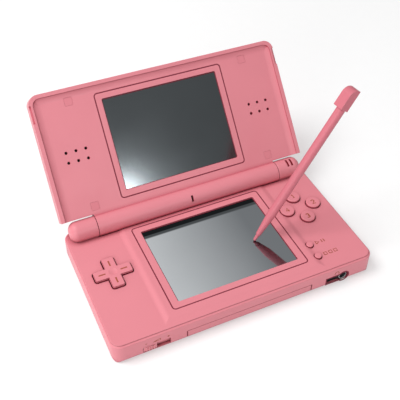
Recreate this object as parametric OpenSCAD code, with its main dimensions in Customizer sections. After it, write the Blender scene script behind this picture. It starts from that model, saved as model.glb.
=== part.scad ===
// Clamshell handheld game console with two screens, shown opened, in millimetres.
// +X points right, +Y points back to the hinge and +Z points up.
// The origin lies on the resting plane, under the centre of the lower case.
// The lid is drawn in its own frame: X along the hinge, Y away from it over the
// lid's inner face, Z out of that face, with the hinge axis as the origin.

/* [Lower case] */
// width of the lower case
base_w = 133; // [120:0.5:150]
// depth of the lower case
base_d = 74; // [68:0.5:84]
// corner radius in plan
corner_r = 5; // [3:0.5:9]
// radius of the bottom edges
bottom_r = 2.5; // [2:0.25:5]
// radius of the upper edges, outside the deck
top_r = 0.6; // [0.3:0.1:0.6]
// height of the seam between the two lower shells
seam_z = 6.0; // [5:0.1:7]
// height of the ledge round the deck
ledge_z = 10.87; // [10:0.01:11.1]
// height of the deck that carries the buttons
deck_z = 11.2; // [11:0.05:12]
// height of the raised field round the lower screen
field_z = 11.9; // [11.3:0.05:12.4]
// width of the ledge round the deck
ledge_w = 0.8; // [0.8:0.1:4]
// wall thickness of the cases
wall = 1.3; // [1:0.1:2]
// thickness of the lower shell's floor
floor_t = 1.2; // [1:0.1:1.4]
// thickness of the deck
deck_t = 1.0; // [0.8:0.05:1.2]
// margin of the raised field beside the lower frame
field_side = 3.0; // [1.7:0.1:4.2]
// margin of the raised field in front of the lower frame
field_lip = 2.15; // [1.35:0.05:2.85]
// width of the slope round the raised field
field_slope = 3.6; // [1:0.1:3.6]

/* [Screens] */
// rear edge of the lower frame, in front of the hinge axis
screen_gap = 7.25; // [5.8:0.05:8]
// width of a screen's clear window
window_w = 62.3; // [58:0.1:64]
// height of a screen's clear window
window_h = 46.8; // [44:0.1:48]
// lower frame's border at the sides of its window
low_border_x = 3.65; // [2.8:0.05:4.4]
// lower frame's border in front of and behind its window
low_border_y = 3.35; // [2.6:0.05:3.6]
// upper frame's border at the sides of its window
up_border_x = 3.15; // [2.8:0.05:4.4]
// upper frame's border above and below its window
up_border_y = 3.2; // [2.6:0.05:4.1]
// depth of the glass below its frame
glass_drop = 0.65; // [0.4:0.05:0.9]
// share of the room above and below the upper frame that is on the hinge's side
up_share = 0.491; // [0.4:0.001:0.6]

/* [Hinge and lid] */
// hinge axis in front of the case's rear
hinge_inset = 4.4; // [4.2:0.1:4.6]
// height of the hinge axis
hinge_z = 14.0; // [13.9:0.1:14.2]
// opening of the lid as shown, from closed
lid_open = 130.5; // [95:0.5:140]
// radius of the hinge barrel and its caps
barrel_r = 5.3; // [5:0.05:5.4]
// width of a hinge cap that stays with the lower case
cap_w = 13.75; // [12.8:0.05:15.8]
// hinge cap's outer end, inside the side of the case
cap_inset = 2.4; // [1.5:0.1:4]
// radius of the hinge pins
hinge_pin_r = 2.5; // [2:0.1:3]
// closed lid's front edge, behind the front of the case
lid_setback = 0.5; // [0.3:0.1:1]
// lid's near edge, clear of the hinge barrel
lid_neck = 0.7; // [0.3:0.05:0.7]
// lid's outer face behind the hinge axis
lid_back = 7.5; // [7:0.1:8]
// gap between the buttons and the closed lid
closed_gap = 0.3; // [0.25:0.05:0.5]
// height of the lid's rim over its inner face
rim_rise = 1.2; // [0.9:0.05:1.4]
// thickness of the lid's side walls
rim_w = 2.0; // [1.8:0.1:2.2]
// width of the hollow band inside the rim
band_w = 3.6; // [2:0.1:4]
// radius of a speaker hole
speaker_hole_r = 0.75; // [0.5:0.05:1]
// distance between speaker holes
speaker_pitch = 5; // [4:0.1:5.5]
// centre of the speakers, inside the side of the lid
speaker_inset = 16.4; // [15.5:0.1:17.5]
// centre of the speakers, nearer the hinge than the upper screen's
speaker_drop = 0.6; // [-6:0.1:6]

/* [Buttons] */
// centre of the four-way pad, inside the left side
pad_inset = 14.4; // [13.5:0.1:15.5]
// centre of the four-way pad, behind that of the lower screen
pad_behind = 4.8; // [1.4:0.1:7.4]
// span of the four-way pad
pad_span = 18.4; // [16:0.1:19]
// width of one arm of the pad
pad_arm = 6.0; // [5:0.1:7]
// share of the room beside the face buttons that is on the screen's side
face_share = 0.585; // [0.4:0.005:0.7]
// centre of the face buttons, behind that of the lower screen
face_behind = 7.0; // [3.4:0.1:8.4]
// distance of a face button from that centre
face_pitch = 7.6; // [7:0.1:8]
// radius of a face button
face_r = 3.7; // [3:0.05:3.9]
// height of the buttons over the deck
button_rise = 1.2; // [0.8:0.05:1.2]
// start and select, from the centre of the face buttons to the screen's side
menu_in = 9.3; // [7.3:0.1:10.3]
// start button, behind the front of the case
start_front = 18.0; // [16:0.1:20]
// select button, behind the front of the case
select_front = 10.2; // [9:0.1:11]
// radius of start and select
menu_r = 1.8; // [1.4:0.05:2.2]
// height of the four-way pad over the deck
pad_rise = 1.0; // [0.8:0.05:1]
// play between a button and its hole
button_gap = 0.3; // [0.2:0.05:0.5]

/* [Front edge] */
// half width of the cartridge slot cover
cover_half = 31.75; // [30:0.05:32]
// reach of the cover's tongue into the case
cover_reach = 30; // [20:1:30]
// middle of the volume slot, inside the left side
volume_inset = 20; // [18.5:0.1:21.5]
// middle height of the volume slot
volume_z = 3.9; // [3.7:0.05:4.1]
// length of the volume slot
volume_len = 13; // [10:0.1:13.4]
// height of the volume slot
volume_h = 3.6; // [3:0.1:4]
// length of the volume knob
volume_knob = 6.2; // [5:0.1:7]
// centre of the headset jack, inside the right side
jack_inset = 16.6; // [15.5:0.1:17.5]
// height of the headset jack and its socket
jack_z = 3.7; // [3.6:0.05:3.8]
// bore radius of the headset jack
jack_r = 1.8; // [1.75:0.01:1.9]
// radius of the round end of the headset opening
port_r = 2.9; // [2.5:0.05:3.2]
// length of the headset opening's square part, from the jack's centre
port_len = 9.6; // [8.9:0.1:9.9]

/* [Sides and rear] */
// depth of the shoulder buttons
shoulder_d = 7.5; // [7:0.05:8.4]
// width of the shoulder buttons
shoulder_w = 15.8; // [12.5:0.1:15.9]
// height of the shoulder button's pin
shoulder_pin_z = 4.6; // [4.4:0.05:5.5]
// shoulder button's pin, behind its front edge
shoulder_pin_d = 1.8; // [1.7:0.05:3]
// radius of the shoulder button's pin
shoulder_pin_r = 0.8; // [0.6:0.05:1]
// middle of the power slot, from front to back
power_y = -3; // [-6:0.5:0]
// length of the power slot
power_len = 11; // [10:0.5:12]
// middle height of the power slot
power_z = 4.0; // [3.9:0.05:4.1]
// width of the game card slot
card_w = 34.6; // [33.5:0.1:35]
// height of the game card slot
card_h = 3.95; // [3.9:0.01:3.97]

/* [Stylus] */
// length of the stylus
stylus_len = 88; // [80:0.5:92]
// radius of the stylus shaft
stylus_r = 2.25; // [2:0.01:2.3]
// stylus point, from the middle
stylus_x = 17.45; // [10:0.05:22]
// stylus point, in front of the lower screen's centre
stylus_front = 4.1; // [-1.4:0.1:8.6]
// turn of the stylus about the upright, from +X
stylus_az = 8; // [0:0.5:12]
// rise of the stylus over the deck
stylus_el = 55; // [50:0.5:60]
// turn of the stylus about its own axis
stylus_roll = 174; // [0:1:360]
// length of the stylus cap
cap_len = 11; // [8:0.5:11]
// gap between the lower display and the stylus tube behind it
tube_gap = 0.2; // [0.1:0.05:0.3]
// height of the stylus tube
tube_z = 8.2; // [8.15:0.01:8.25]
// inner radius of the stylus tube
tube_r = 2.35; // [2.34:0.01:2.4]

/* [Hidden] */
$fn = 64;
// running clearance of the pins in their bores
run_gap = 0.05;
// seam between neighbouring shells
seam = 0.1;
// free gap round a moving piece
free_gap = 0.3;
// depth of a shallow cut past a face
cut = 1;
front_y = -base_d / 2;
rear_y = base_d / 2;
side_x = base_w / 2;
deck_front = front_y + ledge_w + 0.3;
deck_side = side_x - ledge_w + 0.2;
deck_r = max(corner_r - ledge_w, 0.6);
hinge_y = rear_y - hinge_inset;
trough_r = barrel_r + 0.35;
cap_end = side_x - cap_inset;
cap_start = cap_end - cap_w;
barrel_half = cap_start - free_gap;
inner_top = deck_z - deck_t;
// reach of the hinge pins into the caps, of the bush and of the cam into the barrel
pin_reach = 6.65;
bush_reach = 7.55;
cam_reach = 9.85;
board_z = 6.2;
board_t = 1.0;
board_top = board_z + board_t;
shield_t = 0.3;
display_low_z = board_top + shield_t;
low_frame_w = window_w + 2 * low_border_x;
low_frame_h = window_h + 2 * low_border_y;
up_frame_w = window_w + 2 * up_border_x;
up_frame_h = window_h + 2 * up_border_y;
screen_y = hinge_y - screen_gap - low_frame_h / 2;
field_half = low_frame_w / 2 + field_side;
field_front = screen_y - low_frame_h / 2 - field_lip;
// steps of the slope round the raised field
slope_steps = 8;
// play of the panels in their openings, and of the frames in their seats
fit_gap = 0.1;
glass_top = field_z - glass_drop;
glass_t = 1.2;
membrane_t = 0.4;
dome_z = 8.1;
flange_z = 9.3;
flange_t = 0.6;
pad_z = 8.9;
button_top = deck_z + button_rise;
pad_top = deck_z + pad_rise;
panel_w = window_w + 2.9;
panel_h = window_h + 2.6;
module_w = panel_w - 2 * fit_gap;
module_h = panel_h - 0.8;
shield_w = module_w - 1;
shield_h = module_h - 1.6;
pad_x = pad_inset - side_x;
pad_y = screen_y + pad_behind;
button_flange = 0.9;
// the face buttons' holes and flanges keep between the lower frame and the wall
face_half = face_pitch + face_r;
face_low = low_frame_w / 2 + fit_gap + face_half + button_gap;
face_high = side_x - wall - face_half - button_flange;
face_x = face_low + face_share * (face_high - face_low);
face_y = screen_y + face_behind;
menu_x = face_x - menu_in;
start_y = front_y + start_front;
select_y = front_y + select_front;
volume_x = volume_inset - side_x;
jack_x = side_x - jack_inset;
port_left = jack_x - port_len;
shoulder_x = side_x - shoulder_w;
shoulder_y = rear_y - shoulder_d;
shoulder_pin_y = shoulder_y + shoulder_pin_d;
stylus_y = screen_y - stylus_front;
boss_x = side_x - 6;
boss_rear_y = rear_y - 20;
boss_front_y = front_y + 6;
boss_r = 3;
screw_r = 0.75;
head_r = 1.5;
plug_r = 2.1;
// rails beside the cartridge cover's tongue
cover_gap = 0.25;
rail_x = cover_half - 1.95;
rail_t = 1.6;
power_travel = 3;
battery_len = 35.4;
bay_x = [rail_x + rail_t + 2, side_x - 9.2];
battery_w = bay_x[1] - bay_x[0];
bay_y = [front_y + 15.8, front_y + 15.8 + battery_len];
tab_w = 7.6;
bay_mid = (bay_x[0] + bay_x[1]) / 2;
tab_x = [bay_mid - tab_w / 2, bay_mid + tab_w / 2];
tab_y = bay_y[1] + 6;
cover_screw_y = bay_y[1] + 3;
connector_y = front_y + 1.5 + cover_reach + 0.9;
connector_d = 5;
card_y = connector_y + connector_d + 6.1;
cage_t = 0.25;
cage_wall = 1.4;
cell_z = 1.0;
shoulder_low = 2.6;
shoulder_high = 8.1;
shoulder_drop = 0.9;
tube_wall = 0.25;
tube_y = screen_y + module_h / 2 + tube_gap + tube_r + tube_wall;
// play round the stored stylus, and beyond its point
cap_gap = 0.25;
tip_gap = 0.6;
recess_in = side_x - cap_len - 0.4;
tube_end = recess_in - (stylus_len - cap_len) - tip_gap;
tube_in = tube_end - 1;
lid_w = base_w;
lid_far = hinge_y - front_y - lid_setback;
lid_near = barrel_r + lid_neck;
// the closed lid stays over the buttons, and its rim over the deck
lid_face = hinge_z - max(button_top + closed_gap, deck_z + free_gap + rim_rise);
lid_rim = lid_face + rim_rise;
up_room = lid_far - rim_w - lid_near - up_frame_h;
up_screen_d = lid_near + up_share * up_room + up_frame_h / 2;
// back, inner corner and outer end of the neck that joins the barrel to the lid
neck_back = 4.9;
neck_in = 3.43;
neck_out = lid_near + 1.25;
up_glass_w = lid_face - glass_drop;
up_glass_t = 0.8;
up_display_t = 3.2;
up_panel_w = panel_w;
up_panel_h = panel_h - 0.2;
up_display_h = up_panel_h - 2 * fit_gap;
display_near = up_screen_d - up_display_h / 2;
plate_back = -0.9;
// thickness of the lid's wall beside the barrel
near_wall = 1.2;
speaker_x = side_x - speaker_inset;
speaker_d = up_screen_d - speaker_drop;
speaker_r = 8;
far_pad = [side_x - 19.2, lid_far - 6.7];
near_pad = [side_x - 18.2, lid_near + 3.75];
notch_d = lid_far - 9.1;
pad_side = 4.1;
pad_t = 0.45;
led_x = [side_x - 9.9, side_x - 7.65];
led_w = 1.0;
led_from = 50;
led_to = 97;
led_mid = (led_from + led_to) / 2;
tip_z = glass_top + 0.12;
block_a = [-2.3, 2.4];
block_b = [-3.4, 2.25];
recess_y = [tube_y + block_a[0] - cap_gap, tube_y + block_a[1] + cap_gap];
recess_z = [tube_z + block_b[0] - cap_gap, tube_z + block_b[1] + 0.15];
shell_pink = [0.90, 0.55, 0.60];
shell_deep = [0.80, 0.44, 0.51];
dark = [0.10, 0.10, 0.12];
glass_grey = [0.48, 0.51, 0.52];
board_green = [0.10, 0.36, 0.22];
metal = [0.72, 0.73, 0.74];
rubber_grey = [0.55, 0.55, 0.56];

// helpers
module rrect(w, h, r) {
  square([w - 2 * r, h], center = true);
  square([w, h - 2 * r], center = true);
  for (i = [-1, 1], j = [-1, 1])
    translate([i * (w / 2 - r), j * (h / 2 - r)])
      circle(r);
}

module box(x, y, z) {
  translate([x[0], y[0], z[0]])
    cube([x[1] - x[0], y[1] - y[0], z[1] - z[0]]);
}

// rounded corners on the far side, square ones on the near side
module lid_plan(w, h, r) {
  rrect(w, h, r);
  translate([-w / 2, -h / 2])
    square([w, h / 2]);
}

module slab(w, d, r, y, z0, z1) {
  translate([0, y, z0])
    linear_extrude(z1 - z0)
      rrect(w, d, r);
}

module along_x(x0, x1) {
  translate([x0, 0, 0])
    rotate([90, 0, 90])
      linear_extrude(x1 - x0)
        children();
}

module along_y(y0, y1) {
  translate([0, y1, 0])
    rotate([90, 0, 0])
      linear_extrude(y1 - y0)
        children();
}

module rod_x(r, x0, x1, y, z) {
  translate([x0, y, z])
    rotate([0, 90, 0])
      cylinder(r = r, h = x1 - x0);
}

module rod_y(r, y0, y1, x, z) {
  translate([x, y1, z])
    rotate([90, 0, 0])
      cylinder(r = r, h = y1 - y0);
}

module mirrored() {
  children();
  mirror([1, 0, 0])
    children();
}

// flat-topped section with two rounded lower corners
module dished(half, h, r) {
  translate([-half, r])
    square([2 * half, h - r]);
  translate([-half + r, 0])
    square([2 * (half - r), r + 0.01]);
  for (i = [-1, 1])
    translate([i * (half - r), r])
      circle(r);
}

// slab with rounded upper edges
module domed_slab(w, d, r, round, z0, z1) {
  h = z1 - z0;
  for (x = [-1, 1], y = [-1, 1])
    translate([x * (w / 2 - r), y * (d / 2 - r), z0])
      rotate_extrude() {
        square([r, h - round]);
        square([r - round, h]);
        intersection() {
          translate([r - round, h - round])
            circle(round);
          translate([0, h - round])
            square([r, round]);
        }
      }
  along_x(r - w / 2, w / 2 - r)
    translate([0, z1])
      mirror([0, 1])
        dished(d / 2, h, round);
  along_y(r - d / 2, d / 2 - r)
    translate([0, z1])
      mirror([0, 1])
        dished(w / 2, h, round);
}

// outer body of the lower case up to its ledge, shrunk by s for the inside
module case_body(s, z0, z1) {
  intersection() {
    slab(base_w - 2 * s, base_d - 2 * s, corner_r - s, 0, z0, z1);
    along_y(front_y, rear_y)
      translate([0, s])
        dished(side_x - s, 14, bottom_r - s);
    along_x(-side_x, side_x)
      translate([0, s])
        dished(rear_y - s, 14, bottom_r - s);
  }
}

module on_case_screws() {
  for (x = [-boss_x, boss_x], y = [boss_front_y, boss_rear_y])
    translate([x, y, 0])
      children();
}

module volume_slot(grow, y0, y1) {
  box([volume_x - volume_len / 2 - grow, volume_x + volume_len / 2 + grow], [y0, y1],
    [volume_z - volume_h / 2 - grow, volume_z + volume_h / 2 + grow]);
}

module port_opening(grow, y0, y1) {
  box([port_left - grow, jack_x], [y0, y1], [jack_z - 2 - grow, jack_z + 2 + grow]);
  rod_y(port_r + grow, y0, y1, jack_x, jack_z);
}

module shoulder_pocket() {
  mirrored()
    box([shoulder_x - free_gap, side_x + cut], [shoulder_y - free_gap, rear_y + cut],
      [shoulder_low - shoulder_drop, shoulder_high + free_gap]);
}

module stylus_mouth() {
  box([recess_in, side_x + cut], recess_y, recess_z);
}

// lower case
module base_bottom_case() {
  color(shell_pink)
  difference() {
    union() {
      difference() {
        case_body(0, 0, seam_z);
        slab(base_w - 2 * wall, base_d - 2 * wall, corner_r - wall, 0, floor_t, 14);
      }
      on_case_screws()
        cylinder(r = boss_r, h = board_z);
      mirrored()
        box([rail_x, rail_x + rail_t], [front_y + 0.9, connector_y + 0.6], [0.6, board_z]);
      translate([bay_mid, cover_screw_y, floor_t - 0.15])
        cylinder(r = 2.6, h = 4.2);
      mirrored()
        box([shoulder_x - 2.8, shoulder_x - 1.2], [shoulder_y - 0.6, shoulder_pin_y + 1.8],
          [floor_t - 0.1, seam_z]);
      box([-24.9, -23.3], [rear_y - 7, rear_y - 1], [floor_t - 0.1, board_z]);
    }
    // openings for the screws
    on_case_screws() {
      translate([0, 0, -cut])
        cylinder(r = 0.95, h = 9);
      translate([0, 0, -cut])
        cylinder(r = plug_r + 0.05, h = cut + 1.4);
    }
    // front edge
    box([-cover_half - cover_gap, cover_half + cover_gap], [front_y - cut, front_y + 1.85],
      [-cut, seam_z + cut]);
    box([-rail_x, rail_x], [front_y, front_y + 2.5], [floor_t, seam_z + cut]);
    volume_slot(0, front_y - cut, front_y + wall + cut);
    port_opening(0, front_y - cut, front_y + wall + cut);
    // battery bay
    box([bay_x[0] - 0.15, bay_x[1] + 0.15], [bay_y[0] - 0.15, bay_y[1] + 0.15], [-cut, 2]);
    box([tab_x[0] - 0.15, tab_x[1] + 0.15], [bay_y[1] - 1, tab_y + 0.15], [-cut, 1.05]);
    translate([bay_mid, cover_screw_y, 0])
      cylinder(r = 0.8, h = 5);
    // rear and sides
    box([-card_w / 2, card_w / 2], [rear_y - 2, rear_y + cut],
      [floor_t + 0.15, floor_t + 0.15 + card_h]);
    box([-32.6, -25.6], [rear_y - 2, rear_y + cut], [1.8, 5.0]);
    shoulder_pocket();
    stylus_mouth();
    mirrored()
      rod_x(shoulder_pin_r, shoulder_x - 3.7, shoulder_x - free_gap, shoulder_pin_y,
        shoulder_pin_z);
    box([side_x - 2, side_x + cut],
      [power_y - power_len / 2, power_y + power_len / 2], [power_z - 1.4, power_z + 1.4]);
  }
}

module hinge_cap() {
  // profile turned about the hinge axis, with a well rounded outer end
  translate([0, hinge_y, hinge_z])
    rotate([0, 90, 0])
      rotate_extrude() {
        translate([0, cap_start])
          square([barrel_r, cap_end - 4 - cap_start]);
        translate([0, cap_start])
          square([barrel_r - 4, cap_end - cap_start]);
        intersection() {
          translate([barrel_r - 4, cap_end - 4])
            circle(4);
          translate([0, cap_end - 4])
            square([barrel_r, 4]);
        }
      }
}

// profile of the soft slope that climbs from the deck to the raised field's edge
function field_climb(edge, side) = [for (i = [0:slope_steps])
  [edge + side * field_slope * (1 - i / slope_steps),
    deck_z + (field_z - deck_z) * (1 - cos(180 * i / slope_steps)) / 2]];

module raised_field() {
  right = field_climb(field_half, 1);
  intersection() {
    along_y(deck_front, rear_y - 6)
      polygon(concat([[-field_half - field_slope, deck_z - 0.4]], field_climb(-field_half, -1),
        [for (i = [slope_steps:-1:0]) right[i]], [[field_half + field_slope, deck_z - 0.4]]));
    along_x(-side_x, side_x)
      polygon(concat([[field_front - field_slope, deck_z - 0.4]], field_climb(field_front, -1),
        [[rear_y, field_z], [rear_y, deck_z - 0.4]]));
  }
}

module face_spots() {
  for (p = [[0, 1], [1, 0], [0, -1], [-1, 0]])
    translate([face_x + face_pitch * p[0], face_y + face_pitch * p[1], 0])
      children();
}

module base_top_case() {
  color(shell_pink)
  difference() {
    union() {
      difference() {
        union() {
          domed_slab(base_w, base_d, corner_r, top_r, seam_z, ledge_z);
          translate([0, (deck_front + rear_y - 2.3) / 2, seam_z])
            linear_extrude(deck_z - seam_z)
              rrect(2 * deck_side, rear_y - 2.3 - deck_front, deck_r);
          raised_field();
        }
        slab(base_w - 2 * wall, base_d - 2 * wall, corner_r - wall, 0, 0, inner_top);
      }
      // wall under the hinge barrel
      intersection() {
        rod_x(trough_r + 1, -barrel_half - 1.6, barrel_half + 1.6, hinge_y, hinge_z);
        box([-side_x, side_x], [hinge_y - 12.6, rear_y], [seam_z, deck_z]);
      }
      mirrored()
        hinge_cap();
      on_case_screws()
        translate([0, 0, board_top])
          cylinder(r = 2.4, h = deck_z - board_top - 0.2);
    }
    rod_x(trough_r, -cap_start, cap_start, hinge_y, hinge_z);
    on_case_screws()
      cylinder(r = 0.8, h = 9.8);
    // lower screen
    slab(low_frame_w + 2 * fit_gap, low_frame_h + 2 * fit_gap, 1.6, screen_y, glass_top, 20);
    slab(panel_w + 2 * fit_gap, panel_h + 2 * fit_gap, 0.6, screen_y, 5, 20);
    // buttons
    for (a = [0, 90])
      translate([pad_x, pad_y, 5])
        rotate(a)
          linear_extrude(20)
            rrect(pad_span + 0.9, pad_arm + 0.9, 1.4);
    face_spots()
      translate([0, 0, 5])
        cylinder(r = face_r + button_gap, h = 20);
    for (y = [start_y, select_y])
      translate([menu_x, y, 5])
        cylinder(r = menu_r + button_gap, h = 20);
    // hinge pins
    mirrored()
      rod_x(hinge_pin_r + run_gap, cap_start - cut, cap_start + pin_reach + 0.5, hinge_y, hinge_z);
    // status lights
    for (x = led_x)
      led_blade(x, led_w / 2 + 0.03, barrel_r + 1);
    // sides, front and rear
    rod_x(tube_r + tube_wall + 0.02, tube_in - 0.5, recess_in + 1, tube_y, tube_z);
    stylus_mouth();
    port_opening(0, front_y - cut, front_y + wall + cut);
    shoulder_pocket();
  }
}

module led_blade(x, half, r_out) {
  translate([x - half, hinge_y, hinge_z])
    rotate([90, 0, 90])
      linear_extrude(2 * half)
        intersection() {
          difference() {
            circle(r_out);
            circle(3.6);
          }
          polygon([[0, 0], [-20 * cos(led_from), 20 * sin(led_from)],
            [-20 * cos(led_mid), 20 * sin(led_mid)], [-20 * cos(led_to), 20 * sin(led_to)]]);
        }
}

module status_light_pipes() {
  color(dark)
  for (x = led_x)
    led_blade(x, led_w / 2, barrel_r - 0.15);
}

module touch_screen_frame() {
  color(shell_pink)
  difference() {
    slab(low_frame_w, low_frame_h, 1.5, screen_y, glass_top, field_z);
    slab(window_w, window_h, 0.8, screen_y, 0, 20);
  }
}

module touch_panel() {
  color(glass_grey)
  slab(panel_w, panel_h, 0.5, screen_y, glass_top - glass_t, glass_top);
}

module lower_display() {
  color(metal)
  slab(module_w, module_h, 0.8, screen_y, display_low_z, glass_top - glass_t);
}

module shield_plate() {
  color(metal)
  slab(shield_w, shield_h, 1, screen_y, board_top, display_low_z);
}

module main_board() {
  color(board_green)
  difference() {
    box([3 - side_x, side_x - 3], [front_y + 2.6, tube_y - tube_r - tube_wall - 0.5],
      [board_z, board_top]);
    on_case_screws()
      cylinder(r = 0.95, h = 20);
  }
}

module board_chips() {
  color(dark) {
    box([9.5 - side_x, 23.5 - side_x], [front_y + 8, front_y + 22], [board_z - 1.1, board_z]);
    box([9.5 - side_x, 16.5 - side_x], [front_y + 23, front_y + 28], [board_z - 0.9, board_z]);
    box([-12, 4], [card_y - 5.3, card_y - 1.9], [board_z - 0.5, board_z]);
  }
}

module pad_membrane() {
  color(rubber_grey)
  translate([pad_x, pad_y, board_top])
    difference() {
      union() {
        linear_extrude(membrane_t)
          rrect(20.4, 20.4, 3);
        for (p = [[0, 1], [1, 0], [0, -1], [-1, 0]])
          translate([6.2 * p[0], 6.2 * p[1], 0])
            cylinder(r1 = 2.6, r2 = 1.8, h = dome_z - board_top);
      }
      translate([0, 0, -cut])
        cylinder(r = 2, h = 4);
    }
}

module face_membrane() {
  color(rubber_grey) {
    translate([face_x, face_y, board_top])
      linear_extrude(membrane_t)
        rrect(2 * face_pitch + 6.8, 2 * face_pitch + 6.8, face_pitch + 0.4);
    face_spots()
      translate([0, 0, board_top])
        cylinder(r1 = 3.2, r2 = 2.4, h = dome_z - board_top);
  }
}

module menu_membrane() {
  color(rubber_grey) {
    translate([menu_x, (start_y + select_y) / 2, board_top])
      linear_extrude(membrane_t)
        rrect(6.8, start_y - select_y + 7.6, 2);
    for (y = [start_y, select_y])
      translate([menu_x, y, board_top])
        cylinder(r1 = 2.4, r2 = 1.6, h = dome_z - board_top);
  }
}

module game_card_slot() {
  color(metal)
  difference() {
    box([-card_w / 2 - cage_wall, card_w / 2 + cage_wall], [card_y - 1, rear_y - wall],
      [floor_t, floor_t + 0.15 + card_h + cage_t]);
    box([-card_w / 2, card_w / 2], [card_y, rear_y], [floor_t + 0.15, floor_t + 0.15 + card_h]);
  }
}

module cartridge_connector() {
  color(dark)
  difference() {
    box([2.8 - rail_x, rail_x - 2.8], [connector_y, connector_y + connector_d], [2.0, board_z]);
    box([4.8 - rail_x, rail_x - 4.8], [connector_y - cut, connector_y + 3], [3.0, 4.6]);
  }
}

module battery() {
  color([0.30, 0.32, 0.36])
  translate([bay_mid, (bay_y[0] + bay_y[1]) / 2, cell_z])
    linear_extrude(board_z - 0.4 - cell_z)
      rrect(battery_w - 0.6, battery_len - 0.6, 1.5);
}

module battery_cover() {
  color(shell_deep)
  difference() {
    union() {
      box(bay_x, bay_y, [0, cell_z]);
      box(tab_x, [bay_y[1] - 1, tab_y], [0, cell_z]);
    }
    translate([bay_mid, cover_screw_y, -cut]) {
      cylinder(r = 0.9, h = 4);
      cylinder(r = head_r + 0.15, h = cut + 0.6);
    }
    for (i = [0:3])
      box([bay_x[1] - 9.3, bay_x[1] - 3.3], [bay_y[0] + 4.2 + 2 * i, bay_y[0] + 5 + 2 * i],
        [-cut, 0.3]);
  }
}

module screw(head_z, head_t, len) {
  difference() {
    union() {
      translate([0, 0, head_z])
        cylinder(r = head_r, h = head_t);
      translate([0, 0, head_z])
        cylinder(r = screw_r, h = len);
    }
    for (a = [0, 90])
      rotate(a)
        box([-0.8, 0.8], [-0.18, 0.18], [head_z - cut, head_z + 0.35]);
  }
}

module battery_cover_screw() {
  color(metal)
  translate([bay_mid, cover_screw_y, 0])
    screw(0.05, 0.55, 4.5);
}

module case_screws() {
  color(metal)
  on_case_screws()
    screw(0.6, 0.8, 8.8);
}

module screw_plugs() {
  color(shell_deep)
  on_case_screws()
    translate([0, 0, 0.05])
      cylinder(r = plug_r, h = 0.55);
}

module headset_jack() {
  color(dark)
  difference() {
    union() {
      box([port_left - 0.1, jack_x + 3.9], [front_y + wall, front_y + 12.4],
        [jack_z - 2.5, board_z]);
      rod_y(2.5, front_y + 0.7, front_y + wall, jack_x, jack_z);
    }
    rod_y(jack_r, front_y - cut, front_y + 11.6, jack_x, jack_z);
    difference() {
      box([port_left + 0.6, jack_x - 3.4], [front_y, front_y + 9], [jack_z - 1.7, jack_z + 1.7]);
      box([port_left + 1.6, jack_x - 4.4], [front_y, front_y + 10], [jack_z - 0.6, jack_z + 0.5]);
    }
  }
}

module power_inlet() {
  color(dark)
  difference() {
    box([-33.2, -25.0], [rear_y - 9.6, rear_y - wall], [floor_t, 5.5]);
    box([-32.4, -25.8], [rear_y - 7.5, rear_y], [2.0, 4.8]);
  }
}

module power_switch() {
  color(metal)
  box([side_x - 6.1, side_x - 2.5], [power_y - 4.5, power_y + 4.5], [power_z - 1.5, board_z]);
}

module volume_control() {
  color(metal)
  box([volume_x - 7.5, volume_x + 7.5], [front_y + 3.1, front_y + 5.9],
    [volume_z - 1.6, board_z]);
}

module shoulder_switch() {
  box([shoulder_x + 1.3, shoulder_x + 7.3], [shoulder_y - 5.1, shoulder_y - 1.8], [floor_t, 4.2]);
}

module left_shoulder_switch() {
  color(metal)
  mirror([1, 0, 0])
    shoulder_switch();
}

module right_shoulder_switch() {
  color(metal)
  shoulder_switch();
}

module shoulder_pins() {
  color(metal)
  mirrored()
    rod_x(shoulder_pin_r, shoulder_x - 2.8, shoulder_x + 8.3, shoulder_pin_y, shoulder_pin_z);
}

module wireless_module() {
  color(metal)
  box([4.5 - side_x, 26.5 - side_x], [front_y + 29, boss_rear_y - 5], [board_z - 2.4, board_z]);
}

module stylus_tube() {
  color(shell_deep)
  difference() {
    rod_x(tube_r + tube_wall, tube_in, recess_in, tube_y, tube_z);
    rod_x(tube_r, tube_end, recess_in + cut, tube_y, tube_z);
  }
}

module hinge_bush() {
  color(metal)
  difference() {
    rod_x(hinge_pin_r, -cap_start - pin_reach, bush_reach - barrel_half, hinge_y, hinge_z);
    rod_x(1.3, -cap_start - pin_reach - cut, bush_reach - barrel_half + cut, hinge_y, hinge_z);
  }
}

module hinge_click_cam() {
  color(metal)
  difference() {
    union() {
      rod_x(hinge_pin_r, barrel_half - cam_reach, cap_start + pin_reach, hinge_y, hinge_z);
      rod_x(3.3, barrel_half - cam_reach - 2, barrel_half - cam_reach, hinge_y, hinge_z);
    }
    for (a = [0:90:270])
      translate([barrel_half - cam_reach - 2, hinge_y, hinge_z])
        rotate([a, 0, 0])
          box([-cut, 0.5], [2.0, 4], [-0.5, 0.5]);
  }
}

// controls on the deck
module pad_pivot() {
  color(rubber_grey)
  translate([pad_x, pad_y, 0]) {
    translate([0, 0, board_top + 0.2])
      cylinder(r = 1.6, h = 0.85);
    translate([0, 0, board_top + 1.0])
      cylinder(r1 = 1.6, r2 = 0.8, h = 0.45);
  }
}

module direction_pad() {
  color(shell_pink)
  translate([pad_x, pad_y, 0])
    difference() {
      union() {
        translate([0, 0, pad_z])
          linear_extrude(flange_t)
            intersection() {
              circle(8.9);
              rrect(15.6, 15.6, 2);
            }
        for (a = [0, 90])
          rotate(a)
            translate([0, 0, pad_z]) {
              linear_extrude(pad_top - pad_z - 0.3)
                rrect(pad_span, pad_arm, 1.0);
              linear_extrude(pad_top - pad_z)
                rrect(pad_span - 0.6, pad_arm - 0.6, 0.8);
            }
      }
      // shallow dish in the middle of the pad
      translate([0, 0, pad_top + 7.6])
        sphere(r = 7.9);
    }
}

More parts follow.
